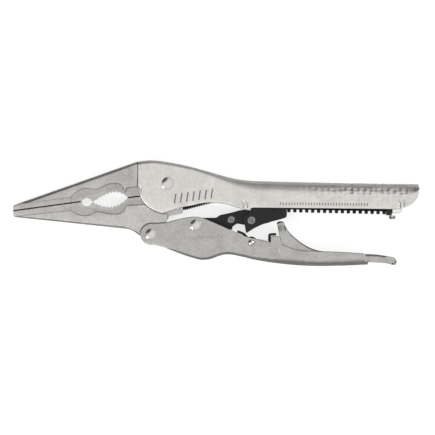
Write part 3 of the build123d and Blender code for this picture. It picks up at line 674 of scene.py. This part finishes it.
add_piece("lower_handle_channel", lower_mesh, "lower_handle", "satin_steel", "lower_handle")

# ---- Rivets and pins --------------------------------------------------------------------------
# Turned steel rivets, set cold: shallow domes on the handles with a ring where the snap bit,
# flush heads on the black plates. Pins and rings are turned on the same lathe.
LINK_PIVOT = (19.25, -28.6)
SHOE_PIVOT = (57.4, -25.3)
LEVER_PIVOT = (57.3, -40.8)
CROSS_RIVET = (43.5, -24.8)


def lathe_tree():
    """Turns a profile of radius and height about an axis, then stands it at its centre."""
    bench, inlet = start_tree("turned_part", "Part", Profile="Geometry", Profile_Points="Int",
                              Facets="Int", Centre="Vector", Turn="Vector", Finish="Material")
    columns = inlet["Facets"] + 1
    grid = bench.add("GeometryNodeMeshGrid", None, 1.0, 1.0, inlet["Profile Points"], columns)
    index = bench.add("GeometryNodeInputIndex")
    point = bench.math("FLOOR", (index + 0.5) / columns)
    angle = (index - point * columns) / inlet["Facets"] * math.tau
    spot = bench.add("GeometryNodeSampleIndex", {"data_type": "FLOAT_VECTOR", "domain": "POINT"},
                     inlet["Profile"], bench.add("GeometryNodeInputPosition"), point)
    radius = bench.add("ShaderNodeSeparateXYZ", None, spot)
    height = Line(bench, radius.socket.node.outputs[2])
    place = bench.add("ShaderNodeCombineXYZ", None,
                      radius * bench.math("COSINE", angle),
                      radius * bench.math("SINE", angle), height)
    part = bench.add("GeometryNodeSetPosition", None, grid, Position=place)
    part = bench.add("GeometryNodeMergeByDistance", None, part, Distance=0.000003)
    part = bench.add("GeometryNodeTransform", None, part, Translation=inlet["Centre"],
                     Rotation=inlet["Turn"])
    return end_tree(bench, part, inlet["Finish"])


turned_part = lathe_tree()


def turned(name, profile, centre, finish, body, slot, *nodes, turn=(0, 0, 0), facets=64):
    mesh = bpy.data.meshes.new(name)
    mesh.from_pydata([(r * MM, 0, h * MM) for r, h in profile], [], [])
    lathe = grown(turned_part, Profile_Points=len(profile), Facets=facets, Finish=finish,
                  Centre=[c * MM for c in centre], Turn=list(turn))
    mesh = plain(set_up(name, mesh, lathe), name)
    bm = opened(mesh)
    bmesh.ops.recalc_face_normals(bm, faces=bm.faces)
    closed(bm, mesh)
    mesh.set_sharp_from_angle(angle=math.radians(42))
    return add_piece(name, mesh, body, slot, *nodes)


def dome(head, rise, base, outward):
    """Half profile of a domed head from its rim to its crown."""
    rows = [(head - 0.2, base), (head, base + outward * 0.1), (head, base + outward * 0.2)]
    high = rise - 0.2
    ball = (head ** 2 + high ** 2) / (2 * high)
    for i in range(1, 10):
        r = head * (1 - i / 9)
        rows.append((r, base + outward * (rise - ball + math.sqrt(ball ** 2 - r ** 2))))
    return rows


def domed(shank, head, rise=1.0):
    low, high = MID - CHANNEL_WIDTH / 2, MID + CHANNEL_WIDTH / 2
    return dome(head, rise, low, -1)[::-1] + [(shank, low), (shank, high)] + dome(head, rise, high, 1)


bright = metal("rivet_steel", (0.50, 0.49, 0.475), 0.15, cloud=0.08, grain=0.03, rub=0.15,
               painted_shade_depth=0.25, reach=1.6, tilt_shade_depth=1.0)
for name, centre, shank, head, body in (
        ("jaw_pivot_rivet", (0.0, 0.0), 3.0, 4.3, "upper_handle"),
        ("handle_rivet", HANDLE_PIVOT, 2.7, 3.8, "lower_handle"),
        ("link_rivet", LINK_PIVOT, 2.0, 3.85, "lower_handle"),
        ("release_lever_rivet", LEVER_PIVOT, 1.5, 2.2, "lower_handle")):
    turned("turned_" + name, domed(shank, head), (*centre, 0), bright, body, "rivet_steel", name)

black = metal("black_oxide", (0.008, 0.008, 0.0085), 0.45, cloud=0.35, grain=0.06, grain_size=0.9,
              metallic=0.0, rub=1.6, painted_shade_depth=0.5, specular=0.14, tilt_shade_depth=1.0)
dull = metal("dull_rivet", (0.16, 0.158, 0.155), 0.38, cloud=0.2, rub=0.5, painted_shade_depth=0.35, reach=1.0)


def flush(shank, head, half):
    """Rivet whose heads lie almost level with the plates, with a dimple from the setting punch."""
    top = [(shank, half), (head, half), (head, half + 0.06), (head - 0.1, half + 0.12),
           (head * 0.62, half + 0.12), (head * 0.55, half + 0.04), (head * 0.3, half + 0.02),
           (0, half + 0.02)]
    return [(r, MID - h) for r, h in top[::-1]] + [(r, MID + h) for r, h in top]


turned("turned_shoe_rivet", flush(1.6, 2.6, 5.0), (*SHOE_PIVOT, 0), dull, "shoe", "dark_rivet",
       "shoe_rivet")
turned("turned_link_cross_rivet", flush(1.3, 2.35, 3.4), (*CROSS_RIVET, 0), dull, "link", "dark_rivet",
       "link_cross_rivet")

# ---- Rack, rear clip and stop screw -----------------------------------------------------------
# Hardened, blackened bar with square-cut teeth, held under the grip's back by the crimps. A bent
# tab closes its rear end, and a short screw under the tab stops the shoe.
SLOPE = math.radians(-1.2)
RACK_FRONT, RACK_REAR, ROOT_Y = 55.0, 154.4, -16.1     # the bar, level, before it is turned to the slope
PITCH, BAR_DEPTH = 4.1, 4.2
FOOT_HALF = 5.15               # feet and tab fill the channel from cheek to cheek


def rack_tree():
    """Toothed bar: one tooth repeated along the bar, merged into it, turned to the slope."""
    bench, inlet = start_tree("toothed_bar", "Rack", Tooth="Geometry", Teeth="Int", Pitch="Float",
                              First_Tooth="Vector", Bar_Size="Vector", Bar_Centre="Vector",
                              Slope="Float", Finish="Material")
    step = bench.add("ShaderNodeCombineXYZ", None, inlet["Pitch"], 0.0, 0.0)
    row = bench.add("GeometryNodeMeshLine", {"mode": "OFFSET"}, inlet["Teeth"],
                    Start_Location=inlet["First Tooth"], Offset=step)
    teeth = bench.add("GeometryNodeInstanceOnPoints", None, row, Instance=inlet["Tooth"])
    teeth = bench.add("GeometryNodeRealizeInstances", None, teeth)
    bar = bench.add("GeometryNodeMeshCube", None, inlet["Bar Size"])
    bar = bench.add("GeometryNodeTransform", None, bar, Translation=inlet["Bar Centre"])
    union = bench.add("GeometryNodeMeshBoolean", {"operation": "UNION"})
    merge = union.socket.node
    for solid in (bar, teeth):
        bench.tree.links.new(solid.socket, merge.inputs[1])
    lean = bench.add("ShaderNodeCombineXYZ", None, 0.0, 0.0, inlet["Slope"])
    rack = bench.add("GeometryNodeTransform", None, union, Rotation=lean)
    return end_tree(bench, rack, inlet["Finish"])


def prism(outline, half, middle=0.0):
    """Plate cut to an outline in the side view, half as thick on each side of its middle."""
    bm = bmesh.new()
    low = [bm.verts.new((x * MM, y * MM, (middle - half) * MM)) for x, y in outline]
    high = [bm.verts.new((x * MM, y * MM, (middle + half) * MM)) for x, y in outline]
    bm.faces.new(low[::-1])
    bm.faces.new(high)
    for i in range(len(outline)):
        j = (i + 1) % len(outline)
        bm.faces.new((low[i], low[j], high[j], high[i]))
    bmesh.ops.recalc_face_normals(bm, faces=bm.faces)
    mesh = closed(bm, bpy.data.meshes.new("prism"))
    smooth_faces(mesh)
    return mesh


tooth = [(-1.15, 0.5), (-1.15, -1.35), (-1.0, -1.8), (-0.6, -2.0), (0.6, -2.0), (1.0, -1.8),
         (1.15, -1.35), (1.15, 0.5)]
toothing = grown(rack_tree(), Teeth=23, Pitch=PITCH * MM, Slope=SLOPE, Finish=black,
                 First_Tooth=[(RACK_FRONT + PITCH) * MM, ROOT_Y * MM, MID * MM],
                 Bar_Size=[(RACK_REAR - RACK_FRONT) * MM, BAR_DEPTH * MM, 3.8 * MM],
                 Bar_Centre=[(RACK_REAR + RACK_FRONT) / 2 * MM, (ROOT_Y + BAR_DEPTH / 2) * MM, MID * MM])
rack_mesh = plain(set_up("rack", prism(tooth, 1.9), toothing, *rounded(0.14, 40, 1)), "rack_bar")
add_piece("rack_bar", rack_mesh, "upper_handle", "black_oxide", "rack")


def sloped(points):
    """Points of the level bar, turned to the rack's slope."""
    return [(x * math.cos(SLOPE) - y * math.sin(SLOPE), x * math.sin(SLOPE) + y * math.cos(SLOPE))
            for x, y in points]


def plate(name, outline, half, middle, body, slot, *nodes, finish, soften=0.3):
    mesh = plain(set_up(name, prism(outline, half, middle), *rounded(soften, 40)), name)
    return add_piece(name, mesh, body, slot, *nodes, finish=finish)


for name, x in (("rack_front_foot", RACK_FRONT - 3.5), ("rack_rear_foot", RACK_REAR - 3.5)):
    low = ROOT_Y - (2.6 if name == "rack_rear_foot" else 0)
    block = sloped([(x, low), (x + 3.5, low), (x + 3.5, ROOT_Y + 4.1), (x, ROOT_Y + 4.1)])
    plate(name, block, FOOT_HALF, MID, "upper_handle", "black_oxide", finish=black, soften=0.25)
tab = sloped([(154.5, -11.9), (154.5, -17.3), (159.0, -17.2), (160.6, -16.6), (161.3, -15.4),
              (161.3, -11.9)])
plate("rack_rear_tab", tab, FOOT_HALF, MID, "upper_handle", "satin_steel", "rack_clip", finish=nickel,
      soften=0.6)
screw = [(0, 0.0), (1.7, 0.0), (2.05, 0.25), (2.05, 0.9), (1.75, 1.05), (1.75, 1.3), (2.3, 1.45),
         (2.3, 2.4), (2.15, 2.55), (0, 2.55)]
screw_foot = sloped([(155.0, -18.8 - 2.58)])[0]
turned("rack_stop_screw_turned", screw, (*screw_foot, MID), stamped, "upper_handle", "rivet_steel",
       "rack_stop_screw", turn=(-math.pi / 2, 0, SLOPE))

# ---- Link, shoe and pawl ----------------------------------------------------------------------
# Blanked plates in black oxide. Two link plates run from the lower handle to the shoe, whose two
# plates straddle them; the toothed pawl hangs between them under the rack on a leaf spring.
TAIL_PIN, ANCHOR_PIN = (6.6, -17.2), (43.0, -7.6)      # they hold the jaw spring's two eyes


def softened(name, node, width, body, slot, finish):
    """A blanked plate from its CAD solid, its edges tumbled."""
    mesh = plain(set_up(name, cad_copy(node), *rounded(width, 30)), name)
    return add_piece(name, mesh, body, slot, node, finish=finish)


for side in ("near", "far"):
    softened("link_blank_" + side, "link_plate_" + side, 0.22, "link", "black_oxide", black)
    softened("shoe_blank_" + side, "shoe_plate_" + side, 0.25, "shoe", "black_oxide", black)
softened("pawl_block", "pawl", 0.15, "pawl", "black_oxide", black)
softened("pawl_leaf", "pawl_spring", 0.06, "shoe", "spring_wire", black)
for name, node, radius, half, centre, body, slot, finish in (
        ("guide_pin_turned", "shoe_guide_pin", 1.5, 5.0, None, "shoe", "black_oxide", black),
        ("tail_pin_turned", "jaw_tail_pin", 1.2, 5.05, TAIL_PIN, "lower_jaw", "rivet_steel", bright),
        ("anchor_pin_turned", "spring_anchor_pin", 1.2, 5.2, ANCHOR_PIN, "upper_handle", "rivet_steel",
         bright)):
    low, high = (Vector(c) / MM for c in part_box(node))
    centre = centre or ((low.x + high.x) / 2, (low.y + high.y) / 2)
    pin = [(0, MID - half), (radius - 0.2, MID - half), (radius, MID - half + 0.2),
           (radius, MID + half - 0.2), (radius - 0.2, MID + half), (0, MID + half)]
    turned(name, pin, (*centre, 0), finish, body, slot, node, facets=32)
spacer = [(1.3, MID - 2.1), (2.5, MID - 2.1), (2.6, MID - 2.0), (2.6, MID + 2.0), (2.5, MID + 2.1),
          (1.3, MID + 2.1), (1.3, MID - 2.1)]
turned("spacer_turned", spacer, (*CROSS_RIVET, 0), black, "link", "black_oxide", "link_spacer", facets=48)
for side, sign in (("near", 1), ("far", -1)):
    ring = [(r, MID + sign * h) for r, h in ((2.0, 3.6), (4.25, 3.6), (4.4, 3.75), (4.4, 5.05),
                                             (4.25, 5.2), (2.0, 5.2), (2.0, 3.6))]
    turned("link_ring_" + side, ring, (*LINK_PIVOT, 0), bright, "lower_handle", "rivet_steel",
           *(["link_rings"] if sign > 0 else []), facets=48)

# ---- Release lever ----------------------------------------------------------------------------
# Thinner sheet bent into a channel that is open underneath: hub on the small rivet, nose that
# stands up to the pawl, and a tail rolled over at its end for the finger.
LEVER_SHEET = 1.4
LEVER_WIDTH = 9.9


def lever_knot(bx, by, lx, ly):
    return (bx, by, lx, ly, 1.9, 1.9, 0.0, 0.0)


def ear_knot(bx, by, lx, ly):
    """The two cheeks go on to the rivet as ears, with no web between them."""
    return (bx, by, lx, ly, 0.05, 0.05, 0.0, 1.0)


lever_runs = [
    [lever_knot(156.4, -51.2, 153.9, -55.9), lever_knot(152.1, -50.2, 149.9, -54.8),
     lever_knot(143, -48.9, 142, -54.3), lever_knot(134, -48.6, 133, -53.9),
     lever_knot(119, -47.6, 118, -53.3), lever_knot(104, -46.2, 104, -52.6),
     lever_knot(96, -43.3, 98, -52.1), lever_knot(89, -38.6, 93, -51.5),
     lever_knot(83.6, -33.6, 88, -50.8), lever_knot(81.2, -30.0, 85, -50.3),
     lever_knot(79.6, -26.6, 83, -49.9)],
    [lever_knot(79.6, -26.6, 83, -49.9), lever_knot(78.9, -26.1, 82.3, -49.8),
     lever_knot(77.2, -26.0, 81.2, -49.6), lever_knot(75.8, -26.3, 80.4, -49.5),
     lever_knot(75.0, -27.0, 79.9, -49.4)],
    [ear_knot(77.9, -41.0, 79.7, -49.3), ear_knot(76.4, -41.6, 78.0, -49.0),
     ear_knot(66, -38.6, 67, -46.2), ear_knot(58.5, -37.9, 58.5, -43.9),
     ear_knot(55.6, -38.3, 55.6, -43.3), ear_knot(54.3, -40.1, 54.3, -41.5)],
]
lever_work = channel("release_lever", lever_runs, 0.6, LEVER_WIDTH, stamped, rows=49)
lever_mesh = walled(lever_work, LEVER_SHEET, "release_lever_channel")
for vert in lever_mesh.vertices:             # the upright nose is a third narrower
    nose = ease(vert.co.y / MM, -31.5, -29.0) * (1 - ease(vert.co.x / MM, 84.0, 86.0))
    vert.co.z = MID * MM + (vert.co.z - MID * MM) * (1 - 0.33 * nose)
add_piece("release_lever_channel", lever_mesh, "release_lever", "satin_steel", "release_lever")


def strip(name, path, half, sheet, finish, body, slot):
    """Rolled strip of sheet that follows a path in the side view."""
    knots, reach = [], 0.0
    for i, point in enumerate(path):
        reach += math.dist(point, path[i - 1]) if i else 0.0
        knots.append((reach, *point))
    steps = 40
    line = [curve_through(knots, reach * i / steps) for i in range(steps + 1)]
    verts = [(x * MM, y * MM, (MID + s * half) * MM) for x, y in line for s in (-1, 1)]
    faces = [(2 * i, 2 * i + 1, 2 * i + 3, 2 * i + 2) for i in range(steps)]
    mesh = bpy.data.meshes.new(name)
    mesh.from_pydata(verts, [], faces)
    wall = ("SOLIDIFY", {"thickness": sheet * MM, "offset": -1.0})
    mesh = plain(set_up(name, mesh, wall, *rounded(0.3, 50)), name)
    return add_piece(name, mesh, body, slot, finish=finish)


tail = [(149.5, -49.8), (153.5, -50.5), (156.0, -51.5), (157.6, -53.6), (156.8, -55.6), (154.8, -56.2),
        (153.2, -55.0), (154.6, -53.6)]
strip("release_lever_curl", tail, 4.9, 1.3, stamped, "release_lever", "satin_steel")

# ---- Springs ----------------------------------------------------------------------------------
# Release spring: black music wire, a coil round the lever rivet with one leg to the front nub
# and one hooked over the ear. Jaw spring: a close-wound extension spring inside the upper handle.
wire = metal("spring_wire", (0.012, 0.012, 0.012), 0.34, cloud=0.25, metallic=0.0, rub=0.8, painted_shade_depth=0.5,
             specular=0.3)


def wound(name, paths, radius, finish, body, slot, *nodes):
    """Round wire along one or more centre lines."""
    curve = bpy.data.curves.new(name, "CURVE")
    curve.dimensions = "3D"
    curve.bevel_depth = radius * MM
    curve.bevel_resolution = 3
    curve.use_fill_caps = True
    curve.resolution_u = 3
    for path, straight in paths:
        spline = curve.splines.new("POLY" if straight else "NURBS")
        spline.points.add(len(path) - 1)
        for point, (x, y, z) in zip(spline.points, path):
            point.co = (x * MM, y * MM, z * MM, 1)
        if not straight:
            spline.order_u = 3
            spline.use_endpoint_u = True
    mesh = plain(set_up(name, curve), name)
    return add_piece(name, mesh, body, slot, *nodes, finish=finish)


def coil_points(centre, radius, start, turns, low, high):
    count = int(28 * turns)
    return [(centre[0] + radius * math.cos(start + math.tau * turns * i / count),
             centre[1] + radius * math.sin(start + math.tau * turns * i / count),
             low + (high - low) * i / count) for i in range(count + 1)]


front_z, rear_z = 10.4, 5.6
coil = coil_points(LEVER_PIVOT, 3.5, math.radians(-70), 2.58, rear_z, front_z)
front_leg = [(x, y, front_z) for x, y in ((54.2, -36.6), (52.2, -34.7), (50.6, -33.9), (47.7, -32.9))]
rear_leg = [(x, y, rear_z) for x, y in ((66.0, -43.0), (69.4, -43.9), (70.0, -42.4), (69.9, -37.0),
                                        (69.9, -35.2), (71.4, -35.0), (74.6, -35.0))]
wound("release_spring_wire", [(rear_leg[::-1] + coil + front_leg, False)], 0.85, wire, "lower_handle",
      "spring_wire", "release_spring")

tail_eye, anchor = Vector((*TAIL_PIN, MID)), Vector((*ANCHOR_PIN, MID))
axis = (anchor - tail_eye).normalized()
aside = Vector((-axis.y, axis.x, 0))
span = (anchor - tail_eye).length
EYE_RADIUS, EYE_REACH = 1.8, 3.4         # the winding starts a little behind each eye
TURNS, TURN_POINTS = 25, 20


def eye_points(centre, away):
    """Open loop round a pin, its gap towards the winding."""
    angles = [math.radians(-150 + 300 * i / 22) for i in range(23)]
    return [centre + (axis * math.cos(a) + aside * math.sin(a)) * EYE_RADIUS * away for a in angles]


winding = eye_points(tail_eye, -1)
for i in range(TURNS * TURN_POINTS + 1):
    a = math.tau * i / TURN_POINTS
    grow = ease(i, 0, 14) * ease(TURNS * TURN_POINTS - i, 0, 14)
    along = tail_eye + axis * (EYE_REACH + (span - 2 * EYE_REACH) * i / (TURNS * TURN_POINTS))
    winding.append(along + (aside * math.cos(a) + Vector((0, 0, 1)) * math.sin(a)) * (0.4 + 1.75 * grow))
winding += eye_points(anchor, 1)
spring = wound("jaw_spring_wire", [([tuple(p) for p in winding], False)], 0.45, wire, None,
               "spring_wire", "jaw_spring")
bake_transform(spring)

# ---- Stamped marks ----------------------------------------------------------------------------
# Plain raised strokes and ticks where such tools are stamped: they say nothing. Those on the upper handle
# are painted dark, as painted shade of stamped lines.


def row_tree():
    """One mark repeated along a straight row."""
    bench, inlet = start_tree("stamped_row", "Row", Mark="Geometry", Count="Int", Start="Vector",
                              Step="Vector", Finish="Material")
    row = bench.add("GeometryNodeMeshLine", {"mode": "OFFSET"}, inlet["Count"],
                    Start_Location=inlet["Start"], Offset=inlet["Step"])
    row = bench.add("GeometryNodeInstanceOnPoints", None, row, Instance=inlet["Mark"])
    return end_tree(bench, row, inlet["Finish"])


stamped_row = row_tree()
for name, body, finish, count, start, step, half, width, lean in (
        ("cheek_strokes", "upper_handle", painted_stamp_shade, 7, (5.0, -10.4), (4.2, 0.57), 3.3, 0.42, 0.5),
        ("grip_ticks", "upper_handle", painted_stamp_shade, 32, (77.5, -13.9), (1.92, -0.02), 0.9, 0.26, 0.0),
        ("handle_ticks", "lower_handle", stamped, 14, (12.0, -37.4), (1.9, 0.0), 1.0, 0.24, 0.1)):
    mark = prism([(-width - lean, -half), (width - lean, -half), (width + lean, half),
                  (-width + lean, half)], 0.2)
    row = grown(stamped_row, Count=count, Finish=finish, Step=[step[0] * MM, step[1] * MM, 0.0],
                Start=[start[0] * MM, start[1] * MM, (MID + CHANNEL_WIDTH / 2) * MM])
    mesh = plain(set_up(name, mark, row, *rounded(0.14, 40, 2)), name)
    add_piece(name, mesh, body, "satin_steel")

# ---- Floor, light and camera ------------------------------------------------------------------
# A white sheet that glows a little, a soft sky that is white overhead with one dark flag at the
# upper left, two small lamps, and a long lens straight above the tool.
bpy.ops.mesh.primitive_plane_add(size=8.0, location=(0.034, -0.023, 0))
floor = bpy.context.object
floor.name = "floor"
paper = bpy.data.materials.new("floor_paper")
paper.use_nodes = True
sheet = paper.node_tree.nodes["Principled BSDF"]
sheet.inputs["Base Color"].default_value = (0.45, 0.45, 0.45, 1)
sheet.inputs["Emission Color"].default_value = (1, 1, 1, 1)
sheet.inputs["Emission Strength"].default_value = 0.72
sheet.inputs["Roughness"].default_value = 0.9
sheet.inputs["Specular IOR Level"].default_value = 0.0
floor.data.materials.append(paper)

world = bpy.data.worlds.new("studio")
bpy.context.scene.world = world
world.use_nodes = True
bench = Bench(world.node_tree)
aim = bench.add("ShaderNodeTexCoord", out="Generated")
height = bench.add("ShaderNodeSeparateXYZ", None, aim, out="Z")
dome_light = bench.add("ShaderNodeValToRGB", {"stops": [(0.0, grey(0.26)), (0.35, grey(0.38)),
                                                        (0.75, grey(0.66)), (0.92, grey(1.0)),
                                                        (1.0, grey(1.0))]}, height)
flag = (-0.52, 0.57, 0.63)
shade = bench.vector("DOT_PRODUCT", aim, flag, out="Value")
shade = bench.add("ShaderNodeMapRange", None, shade, 0.80, 0.92, 1.0, 0.12)
sky = bench.vector("SCALE", dome_light, Scale=shade)
background = world.node_tree.nodes["Background"]
world.node_tree.links.new(sky.socket, background.inputs["Color"])
background.inputs["Strength"].default_value = 1.35

TARGET = Vector((0.034, -0.023, 0.008))
for name, place, size, energy in (("left_lamp", (-0.9, -0.7, 1.1), 0.35, 7.0),
                                  ("rear_lamp", (1.1, 0.5, 0.9), 0.5, 4.0)):
    lamp = bpy.data.lights.new(name, "AREA")
    lamp.size = size
    lamp.energy = energy
    stand = bpy.data.objects.new(name, lamp)
    stand.location = place
    stand.rotation_euler = (TARGET - Vector(place)).to_track_quat("-Z", "Y").to_euler()
    bpy.context.scene.collection.objects.link(stand)

FRAME_WIDTH = 0.3              # what the view spans at the tool's middle plane
view = bpy.data.cameras.new("camera")
view.lens = 200
view.sensor_width = 36
eye = bpy.data.objects.new("camera", view)
eye.location = (0.0341, -0.0234, FRAME_WIDTH * view.lens / view.sensor_width + MID * MM)
bpy.context.scene.collection.objects.link(eye)
bpy.context.scene.camera = eye
bpy.context.scene.view_settings.view_transform = "Standard"
